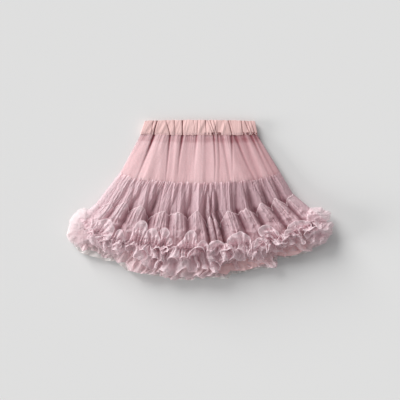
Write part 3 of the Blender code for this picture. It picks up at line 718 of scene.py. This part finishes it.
def makeInnerLayers():
    part = np.linspace(0, 1, 41)[:, None]
    u = np.linspace(-1, 1, 601)[None, :] * 0.95
    row = middleTop + 0.04 + (frillTop - middleTop - 0.05) * part
    wave = noise(u * 45 + part * 2, 51) * 1.6 * mm * smooth(part, 0, 0.3)
    x, y = plan(u, row)
    # drawn in the darker shadowNet and half way to its deep colour, painted shade as it lies under the
    # front; lighter on its raised waves, painted light
    net = clothMesh("under_tier_front_net", gridOf(x, y, between(u, row, inner["underShare"]) + wave),
                    materials["shadowNet"], np.broadcast_to(0.5 - wave / (3 * mm), wave.shape))
    wear(net, ["under_tier_front"])

    part = np.linspace(0, 1, 111)[:, None]
    u = np.linspace(-1, 1, 361)[None, :] * 0.985
    # it looks out at two places
    shown = np.clip(swell(u * 0.91 - 0.31, 0.13) + swell(u * 0.91 - 0.66, 0.10), 0, 1)
    hemOfLining = (frillTop + (hemRow(u * 0.91) - frillTop)
                   * (0.84 + 0.13 * shown - 0.20 * smooth(-u, 0.2, 0.5)))
    row = yokeTop - 0.015 + (hemOfLining - yokeTop + 0.015) * part
    onYoke = np.clip(row - yokeTop, 0, 1)
    _, dip, ripple = yokeSurface(u, onYoke)
    flat = rounding(u, skirt["frontRounding"])
    under = frontHeight(u, row) - 1.3 * mm + (ripple * 0.6 - dip * 0.9) * flat
    lying = between(u * 0.91, row, inner["liningFront"])
    z = under + (lying - under) * smooth(row, middleTop - 0.05, middleTop + 0.22)
    narrow = 1 - 0.085 * smooth(row, 2.0, 3.0)
    x, y = plan(u * narrow, row)
    z = z + (noise(u * 16 + row, 52) * 0.8 * mm + wrinkles(x, y, 53) * 0.6) * smooth(row, 4.0, 4.6)
    # painted shade in the yoke's folds where the lining shows through
    shade = -0.02 + dip / (4 * mm) * smooth(-row, -2.1, -1.9)
    front = clothMesh("lining_front_cotton", gridOf(x, y, z), materials["roseCotton"], shade)
    wear(front, ["lining_front"])
    z = between(u * 0.91, row, inner["liningBack"])
    # the back is drawn partly towards its deep colour: painted shade
    back = clothMesh("lining_back_cotton", gridOf(*plan(u * 0.91, row), z)[::2, ::2],
                     materials["roseCotton"], np.full(z.shape, 0.3)[::2, ::2])
    wear(back, ["lining_back"])
    print("inner layers", areaOf(net), areaOf(front), areaOf(back))


# Frills: strips of net, gathered along one line, whose free edges are rolled and curl back on themselves

# Each strip's cut is its length along the free edge and its mean depth from the gathering line, in metres.
# Its pleats have a height in mm, and a power that says how soon they fade towards the edge.
gatherStep = 14 * mm  # the cloth in one pleat at the gathering line
frills = {
    # rows of the gathering line and the free edge; height over the front at the gathering line; height of
    # the free edge at the middle and at the sides; how far the strip arches; the lengths of cloth in one
    # wave; how far a wave turns, in degrees, past 90 it turns back on itself; how far a curl tips over
    "second": {"rows": (4.16, 4.42), "lift": -5.0, "edge": (47.0, 30.0), "arch": 3.0, "waves": 19,
               "span": 0.97,
               "lengths": (24, 84), "turns": (60, 112), "tip": 1.0, "steps": 18, "seed": 72, "shade": 0.04,
               "cloth": "mauveNet", "edgeThread": "rolledEdge", "nodes": ("frill_front",),
               "cut": (1.19, 0.025), "pleat": (4.4, 0.45)},
    "third": {"rows": (4.18, 4.56), "lift": -8.0, "edge": (41.0, 27.0), "arch": 4.0, "waves": 21,
              "span": 0.985,
              "lengths": (22, 76), "turns": (60, 110), "tip": 1.0, "steps": 20, "seed": 83, "shade": 0.05,
              "cloth": "mauveNet", "edgeThread": "rolledEdge", "nodes": (), "cut": (1.18, 0.033),
              "pleat": (3.7, 0.45)},
    "fourth": {"rows": (4.20, 4.71), "lift": -12.0, "edge": (33.0, 22.0), "arch": 4.0, "waves": 30,
               "span": 1.0,
               "lengths": (14, 54), "turns": (50, 108), "tip": 0.9, "steps": 20, "seed": 94, "shade": 0.06,
               "cloth": "mauveNet", "edgeThread": "rolledEdge", "nodes": (), "cut": (1.17, 0.037),
               "pleat": (3.7, 0.8)},
    "fifth": {"rows": (4.22, 4.87), "lift": -17.0, "edge": (24.0, 17.0), "arch": 3.0, "waves": 38,
              "span": 1.0,
              "lengths": (12, 40), "turns": (40, 98), "tip": 0.8, "steps": 20, "seed": 105, "shade": 0.20,
              "cloth": "pinkNet", "edgeThread": "rolledEdge", "nodes": (), "cut": (1.06, 0.048),
              "pleat": (3.7, 0.8)},
    "under": {"rows": (4.10, 4.97), "lift": -20.0, "edge": (15.0, 11.0), "arch": 2.0, "waves": 42,
              "span": 0.99,
              "lengths": (12, 34), "turns": (30, 78), "tip": 0.5, "steps": 20, "seed": 65, "shade": 0.26,
              "cloth": "pinkNet", "edgeThread": "rolledEdge", "nodes": ("under_frill_front",),
              "cut": (0.92, 0.062), "pleat": (1.2, 0.8)},
    "back": {"rows": (4.01, 4.99), "lift": None, "edge": (9.0, 9.0), "arch": 0.0, "waves": 30,
             "span": 0.975,
             "lengths": (24, 40), "turns": (35, 70), "tip": 0.3, "steps": 20, "seed": 66, "shade": 0.05,
             "cloth": "creamNet", "edgeThread": "creamEdge", "nodes": ("frill_back",),
             "cut": (0.83, 0.069), "pleat": (1.2, 0.8)},
}

# The uppermost frill stands on its gathering line and its free edge runs in curls of many sizes.
# Each row is a stretch of that edge, from left to right: x, y and height in mm.
heading = {
    "row": 4.24, "steps": 20, "cut": (1.25, 0.026), "pleat": (3.4, 0.5), "stride": 1.5,
    "edge": (
        (-206, -40, 36), (-203, -58, 40), (-198, -70, 43), (-195, -54, 48), (-186, -42, 52),
        (-173, -38, 54), (-163, -46, 54), (-162, -61, 53), (-171, -71, 51), (-179, -72, 49),
        (-177, -84, 45), (-166, -88, 43), (-156, -66, 49), (-149, -56, 51), (-143, -66, 49),
        (-141, -82, 45), (-131, -80, 47), (-122, -64, 51), (-117, -48, 55), (-108, -41, 57),
        (-100, -48, 56), (-101, -64, 53), (-104, -76, 50), (-98, -74, 51), (-96, -64, 54), (-91, -57, 56),
        (-83, -56, 57), (-79, -64, 56), (-76, -73, 55), (-69, -74, 55), (-67, -65, 57), (-70, -57, 58),
        (-64, -53, 58), (-59, -61, 57), (-60, -71, 55), (-54, -75, 54), (-57, -82, 52), (-67, -87, 50),
        (-75, -95, 48), (-73, -102, 46), (-64, -98, 47), (-52, -90, 50), (-42, -88, 51), (-32, -77, 55),
        (-22, -64, 58), (-15, -59, 59), (-9, -66, 58), (-9, -78, 55), (-4, -86, 53), (1, -80, 55),
        (8, -78, 55), (13, -86, 53), (12, -99, 50), (11, -110, 47), (17, -109, 47), (20, -97, 50),
        (19, -86, 53), (24, -79, 55), (37, -78, 56), (42, -84, 54), (46, -92, 52), (52, -86, 53),
        (53, -75, 56), (60, -66, 58), (71, -62, 59), (82, -64, 59), (89, -71, 57), (93, -83, 54),
        (94, -98, 50), (97, -112, 46), (102, -104, 48), (103, -86, 52), (106, -74, 55), (112, -72, 55),
        (118, -79, 53), (121, -90, 50), (124, -99, 47), (129, -92, 49), (126, -78, 52), (117, -68, 54),
        (110, -57, 57), (118, -48, 59), (131, -53, 58), (144, -64, 55), (141, -76, 52), (148, -86, 48),
        (156, -76, 50), (161, -58, 54), (168, -46, 57), (180, -41, 58), (196, -41, 55), (204, -48, 51),
        (196, -56, 50), (190, -66, 46), (199, -74, 42), (209, -64, 42), (214, -52, 39), (222, -49, 33),
    ),
}


def meander(look):
    # the line of a free edge: how far it has run along the hem, from -1 to 1, and how far it stands off it
    random = np.random.default_rng(look["seed"])
    lengths = random.uniform(*look["lengths"], look["waves"]) * mm
    turns = np.radians(random.uniform(*look["turns"], look["waves"] + 1))
    wave = np.linspace(0, look["waves"], look["waves"] * 30 + 1)
    stride = np.interp(wave, np.arange(look["waves"]) + 0.5, lengths) / 30
    angle = np.interp(wave, np.arange(look["waves"] + 1), turns) * np.sin(2 * np.pi * wave)
    angle = angle + 0.55 * noise(wave * 1.3, look["seed"] + 3)
    along = np.cumsum(np.cos(angle) * stride)
    across = np.cumsum(np.sin(angle) * stride)
    window = np.ones(45) / 45
    across = across - np.convolve(np.pad(across, 22, mode="edge"), window, "valid")
    tip = (np.interp(wave, np.arange(look["waves"] + 1), random.uniform(-1, 1, look["waves"] + 1))
           * look["tip"])
    return 2 * (along - along[0]) / (along[-1]
                                     - along[0]) - 1, across, tip, np.cumsum(stride) / stride.sum()


def ruffle(name, look):
    along, across, tip, clothShare = meander(look)
    t = np.linspace(0, 1, look["steps"] + 1)[:, None]
    opened = t ** 0.75
    slant = 0.035 * noise(clothShare * 22, look["seed"] + 20) * t ** 1.5 * rounding(2 * clothShare - 1, 6)
    u = ((2 * clothShare - 1) * (1 - opened) + along * opened) * look["span"] + slant
    rootRow, edgeRow = look["rows"]
    edgeRow = 4.0 + (edgeRow - 4.0) * (hemRow(u) - 4.0)
    if name in ("fourth", "fifth", "under"):  # drawn back where the cream frill and the lining look out
        shown = (swell(u + 0.75, 0.05) + swell(u + 0.49, 0.05) + 0.9 * swell(u - 0.31, 0.09)
                 + 0.9 * swell(u - 0.68, 0.08))
        edgeRow = edgeRow - 0.12 * shown
    if look["lift"] is None:
        edgeRow = edgeRow + 0.05 * swell(u + 0.75, 0.06) + 0.05 * swell(u + 0.49, 0.06)
    ragged = noise(u * 11, look["seed"] + 10) * 0.30
    row = rootRow + (edgeRow - rootRow) * t * (1 + ragged * t * (0.12 if name in ("under", "back") else 1))
    x, y = plan(u, row)
    edge = (look["edge"][1] + (look["edge"][0] - look["edge"][1]) * rounding(u, 4)) * mm
    if look["lift"] is None:
        root = backHeight(u, frillTop) + 0.2 * mm
    else:
        root = frontHeight(u, rootRow) + look["lift"] * mm * rounding(u, 4)
    z = root + (edge - root) * t ** 1.2 + look["arch"] * mm * np.sin(np.pi * t ** 0.7)
    # the strip's own directions, read from the plain strip without its waves
    angle = np.radians(np.clip(u, -1, 1) * 62)
    outX, outY = np.sin(angle), -np.cos(angle)
    slope = np.arctan2((root - edge) / mm, 60 * (look["rows"][1] - rootRow))
    tilt = np.pi / 2 - slope + tip * t  # how far up the waves point: straight up on flat cloth
    reach = across * opened * (1 - 0.42 * smooth(-u, 0.25, 0.6))  # lower and softer towards the left end
    tall, fading = look["pleat"]
    pleats = (2 * np.pi * look["cut"][0] / gatherStep * clothShare
              + 1.5 * noise(clothShare * 30, look["seed"] + 5))
    pleat = np.sin(pleats) * (tall * mm) * (1 - t) ** fading
    x = x + outX * (reach * np.cos(tilt))
    y = y + outY * (reach * np.cos(tilt))
    z = z + (reach + pleat) * np.sin(tilt)
    # all the front's frills crumple together, so that they stay in their order
    if look["lift"] is not None:
        calm = 0.5 + 0.5 * rounding(u, 6)
        warpX = crumple(x / (25 * mm), y / (25 * mm), 201) * t * calm
        warpY = (crumple(x / (25 * mm), y / (25 * mm), 202) * t * rounding(u, 4)
                 * (0.3 if name == "under" else 1))
        x, y = x + 9.0 * mm * warpX, y + 8.0 * mm * warpY
        z = z + 6.0 * mm * crumple(x / (22 * mm), y / (22 * mm), 203) * t
        fineX = crumple(x / (10 * mm), y / (10 * mm), 204) * t * calm
        fineY = crumple(x / (10 * mm), y / (10 * mm), 205) * t * calm
        x, y = x + 3.4 * mm * fineX, y + 3.4 * mm * fineY * (0.5 if name == "under" else 1)
        atEnd = smooth(-u, 0.80, 0.93) + 0.6 * smooth(u, 0.88, 0.97)  # pressed down under the end puffs
        z = z * (1 - 0.55 * atEnd)
    creased = wrinkles(x, y, look["seed"] + 4) * smooth(t, 0.0, 0.5) * (0.4 if look["lift"] is None else 1)
    z = z + creased
    lowest = 0.8 * mm
    z = np.where(z < lowest, lowest * 0.5 + z.clip(0) * 0.5, z)
    valley = -across / (8 * mm)
    # painted light and shade: darker where a wave turns in and towards the gathering line, lighter on
    # crumpled ridges, along the free edge as a painted highlight, and towards both ends as painted light
    shade = (look["shade"] - 0.38 - 0.07 * creased / mm + 0.32 * np.clip(valley, -1, 1)
             + 0.34 * (1 - t) ** 2 - 0.26 * smooth(t, 0.84, 1.0))
    shade = shade - 0.62 * smooth(-u, 0.1, 0.7) - 0.36 * smooth(u, 0.15, 0.6)
    if name in ("fifth", "under"):  # the lower strips are drawn lighter overall and deeper towards the middle
        shade = shade - 0.26 + 0.34 * swell(u + 0.05, 0.30)
    points = gridOf(x, y, z)
    if name in ("second", "third"):
        points = turnOut(points, t, 1.8 * mm)
    cloth = clothMesh("frill_" + name + "_net", points, materials[look["cloth"]], shade)
    rolled = threadAlong("frill_" + name + "_rolled_edge", [points[-1]], 0.5 * mm,
                         materials[look["edgeThread"]])
    return cloth, rolled


def turnOut(points, t, width):  # a free edge turns outwards into a narrow lip that lies flat
    edge = points[-1]
    alongX, alongY = np.gradient(edge[:, 0]), np.gradient(edge[:, 1])
    length = np.maximum(np.hypot(alongX, alongY), 0.1 * mm)
    lip = width * smooth(t, 0.76, 1.0)
    points[..., 0] -= lip * alongY / length
    points[..., 1] += lip * alongX / length
    points[..., 2] -= 0.4 * lip * smooth(t, 0.9, 1.0)
    return points


def throughPoints(points, step):  # a smooth line through points given in mm, cut into even steps
    points = np.asarray(points, float) * mm
    padded = np.vstack([2 * points[0] - points[1], points, 2 * points[-1] - points[-2]])
    share = np.linspace(0, 1, 17)[:-1, None]
    a, b, c, d = (padded[k:len(padded) - 3 + k, None] for k in range(4))
    line = 0.5 * (2 * b + (c - a) * share + (2 * a - 5 * b + 4 * c - d) * share ** 2
                  + (3 * b - a - 3 * c + d) * share ** 3)
    line = np.vstack([line.reshape(-1, 3), points[-1:]])
    distance = np.concatenate([[0.0], np.cumsum(np.linalg.norm(np.diff(line, axis=0), axis=1))])
    even = np.arange(0, distance[-1], step)
    return np.column_stack([np.interp(even, distance, line[:, k]) for k in range(3)])


def makeHeading():
    edge = throughPoints(heading["edge"], heading["stride"] * mm)
    tall, fading = heading["pleat"]
    kernel = np.exp(-(np.arange(-90, 91) / 34) ** 2)
    drift = np.convolve(np.pad(edge[:, 0], 90, mode="edge"), kernel / kernel.sum(), "valid")
    drift = np.maximum.accumulate(drift) + np.linspace(-1, 1, len(edge)) * 4 * mm
    uRoot = np.interp(drift, seamShapes[frillTop][1], seamShapes[frillTop][0])
    rootRow = heading["row"] + 0.06 * noise(np.arange(len(edge)) * 0.03, 64)
    rootX, rootY = plan(uRoot, rootRow)
    rootZ = frontHeight(uRoot, rootRow) - 2.0 * mm
    t = np.linspace(0, 1, heading["steps"] + 1)[:, None]
    opened = t ** 0.8
    edge = (edge + np.column_stack([noise(np.arange(len(edge)) * 0.24, seed) for seed in (67, 68, 69)])
            * 1.3 * mm)
    x = rootX + (edge[:, 0] - rootX) * opened
    y = rootY + (edge[:, 1] - rootY) * opened
    z = rootZ + (edge[:, 2] - rootZ) * t ** 0.7
    creased = 1.35 * wrinkles(x, y, 63) * np.sin(np.pi * t ** 0.8)
    pleats = (2 * np.pi * np.arange(len(edge)) * heading["stride"] * mm / gatherStep
              + 1.5 * noise(np.arange(len(edge)) * 0.05, 62))
    z = z + np.sin(pleats) * tall * mm * (1 - t) ** fading + creased
    u = edge[:, 0] / 0.24
    # painted light and shade: darker towards the gathering line, lighter on crumpled ridges, along the
    # turned-out lip as a painted highlight, and towards the ends as painted light
    shade = (-0.30 - 0.07 * creased / mm + 0.36 * (1 - t) ** 1.2 - 0.24 * smooth(t, 0.72, 1.0)
             - 0.45 * smooth(-u, 0.2, 0.8) - 0.10 * smooth(u, 0.2, 0.7))
    points = turnOut(gridOf(x, y, z), t, 2.6 * mm)
    cloth = clothMesh("frill_heading_net", points, materials["mauveNet"], shade)
    rolled = threadAlong("frill_heading_rolled_edge", [points[-1]], 0.55 * mm, materials["rolledEdge"])
    wear(cloth)
    wear(rolled)
    print("frill heading", areaOf(cloth))


# The frill's two ends fold over into rounded puffs beside the side seams
ends = {
    # centre, radii and heights in mm; how far the puff is turned, in degrees; which side is its high one;
    # its soft folds: the direction that they run in, in degrees, their spacing and height; how far its rim
    # droops, as a share of the height; and how creased its net is
    "left_end": {"centre": (-215, -55), "radii": (37, 36), "turn": -18, "heights": (15, 44), "high": 20,
                 "folds": (38, 8, 2.3), "droop": 0.6, "creased": 0.5, "ragged": 0.028, "seed": 121,
                 "shade": 0.10, "cloth": "paintedLitNet",
                 "cut": (0.092, 0.092)},
    # the right ends are drawn well towards the pale colour: painted light, as they lie in the skirt's
    # shadow
    "right_end_upper": {"centre": (218, -30), "radii": (28, 16), "turn": 8, "heights": (26, 41),
                        "high": 175,
                        "folds": (-20, 7, 2.6), "droop": 0.55, "creased": 0.6, "ragged": 0.06,
                        "seed": 122, "shade": -0.30, "cloth": "mauveNet",
                        "cut": (0.083, 0.057)},
    "right_end_lower": {"centre": (224, -62), "radii": (30, 20), "turn": 26, "heights": (26, 47),
                        "high": 150,
                        "folds": (5, 8, 3.2), "droop": 0.55, "creased": 0.6, "ragged": 0.06,
                        "seed": 126, "shade": -0.36, "cloth": "mauveNet",
                        "cut": (0.092, 0.068)},
}


def makeEnds():
    for name, look in ends.items():
        turn, high = math.radians(look["turn"]), math.radians(look["high"])
        angle = np.linspace(0, 2 * np.pi, 121)[None, :]
        r = np.linspace(0.04, 1, 25)[:, None]
        wobble = (1 + 0.08 * np.sin(3 * angle + look["seed"])
                  + look["ragged"] * (np.sin(7 * angle) + 0.5 * np.sin(17 * angle + 1)))
        localX = look["radii"][0] * mm * r * np.cos(angle) * wobble
        localY = look["radii"][1] * mm * r * np.sin(angle) * wobble
        x = look["centre"][0] * mm + localX * math.cos(turn) - localY * math.sin(turn)
        y = look["centre"][1] * mm + localX * math.sin(turn) + localY * math.cos(turn)
        toward = (np.cos(angle - high) * r + 1) / 2
        low, top = look["heights"]
        z = (low + (top - low) * toward ** 0.7) * mm * (1 - look["droop"] * r ** 5)
        along, spacing = math.radians(look["folds"][0]), look["folds"][1] * mm
        across = (y * math.cos(along) - x * math.sin(along)
                  + crumple(x / (20 * mm), y / (20 * mm), look["seed"]) * 6 * mm)
        fold = noise(across / spacing, look["seed"]) * (1 - r ** 6)
        creased = wrinkles(x, y, look["seed"] + 1) * look["creased"] * (1 - r ** 6)
        z = z + fold * look["folds"][2] * mm + creased
        # painted light and shade: darker in the middle, lighter on the folds' crests and crumpled ridges,
        # and lighter at the rim as a painted highlight
        shade = (look["shade"] - 0.05 * creased / mm + 0.10 * (1 - r) - fold * 0.10 * look["folds"][2]
                 - 0.34 * smooth(r, 0.80, 1.0))
        points = gridOf(x, y, z)
        cloth = clothMesh("frill_" + name + "_net", points, materials[look["cloth"]], shade)
        wear(cloth)
        print("frill", name, areaOf(cloth))


def makeFrills():
    for name, look in frills.items():
        cloth, rolled = ruffle(name, look)
        wear(cloth, look["nodes"])
        wear(rolled)
        print("frill", name, areaOf(cloth))
    makeHeading()
    makeEnds()


makeBand()
makeYoke()
makeTiers()
makeInnerLayers()
makeFrills()
print("skirt dressed")


# Studio: a pale floor, soft light from the upper left, and a camera straight above

studio = {
    "floorColour": "#e2e2e1", "floorSize": 8.0,
    # a main lamp and a low, weaker one from the left: elevation, azimuth, angular size, strength
    "suns": {"mainSun": (28.0, 130.0, 36.0, 3.10), "sideSun": (15.0, 186.0, 22.0, 1.75)},
    "skyColour": "#f4f4f6", "skyStrength": 0.40,
    "cameraLens": 85.0, "fieldWidth": 0.760,
}


def makeStudio():
    half = studio["floorSize"] / 2
    mesh = bpy.data.meshes.new("floor")
    mesh.from_pydata([(-half, -half, -0.0004), (half, -half, -0.0004), (half, half, -0.0004),
                      (-half, half, -0.0004)], [], [(0, 1, 2, 3)])
    floor = bpy.data.objects.new("floor", mesh)
    bpy.context.scene.collection.objects.link(floor)
    material, tree = freshMaterial("paperFloor")
    paper = addNode(tree, "BsdfPrincipled", {"Base Color": linear(studio["floorColour"]),
                                             "Roughness": 0.95, "Specular IOR Level": 0.0})
    addNode(tree, "OutputMaterial", {}, {"Surface": paper.outputs[0]})
    mesh.materials.append(material)

    for name, (elevation, azimuth, size, strength) in studio["suns"].items():
        lamp = bpy.data.lights.new(name, "SUN")
        lamp.energy = strength
        lamp.angle = math.radians(size)
        sun = bpy.data.objects.new(name, lamp)
        sun.rotation_euler = (0, math.radians(90 - elevation), math.radians(azimuth))
        bpy.context.scene.collection.objects.link(sun)

    world = bpy.context.scene.world or bpy.data.worlds.new("studio")
    bpy.context.scene.world = world
    world.use_nodes = True
    sky = world.node_tree.nodes["Background"]
    sky.inputs[0].default_value = linear(studio["skyColour"])
    sky.inputs[1].default_value = studio["skyStrength"]
    bpy.context.scene.view_settings.view_transform = "Standard"

    lens = bpy.data.cameras.new("camera")
    lens.lens = studio["cameraLens"]
    lens.sensor_width = 36.0
    lens.clip_start = 0.05
    camera = bpy.data.objects.new("camera", lens)
    camera.location = (0, 0, studio["fieldWidth"] * lens.lens / lens.sensor_width)
    bpy.context.scene.collection.objects.link(camera)
    bpy.context.scene.camera = camera
    print("studio ready")


makeStudio()
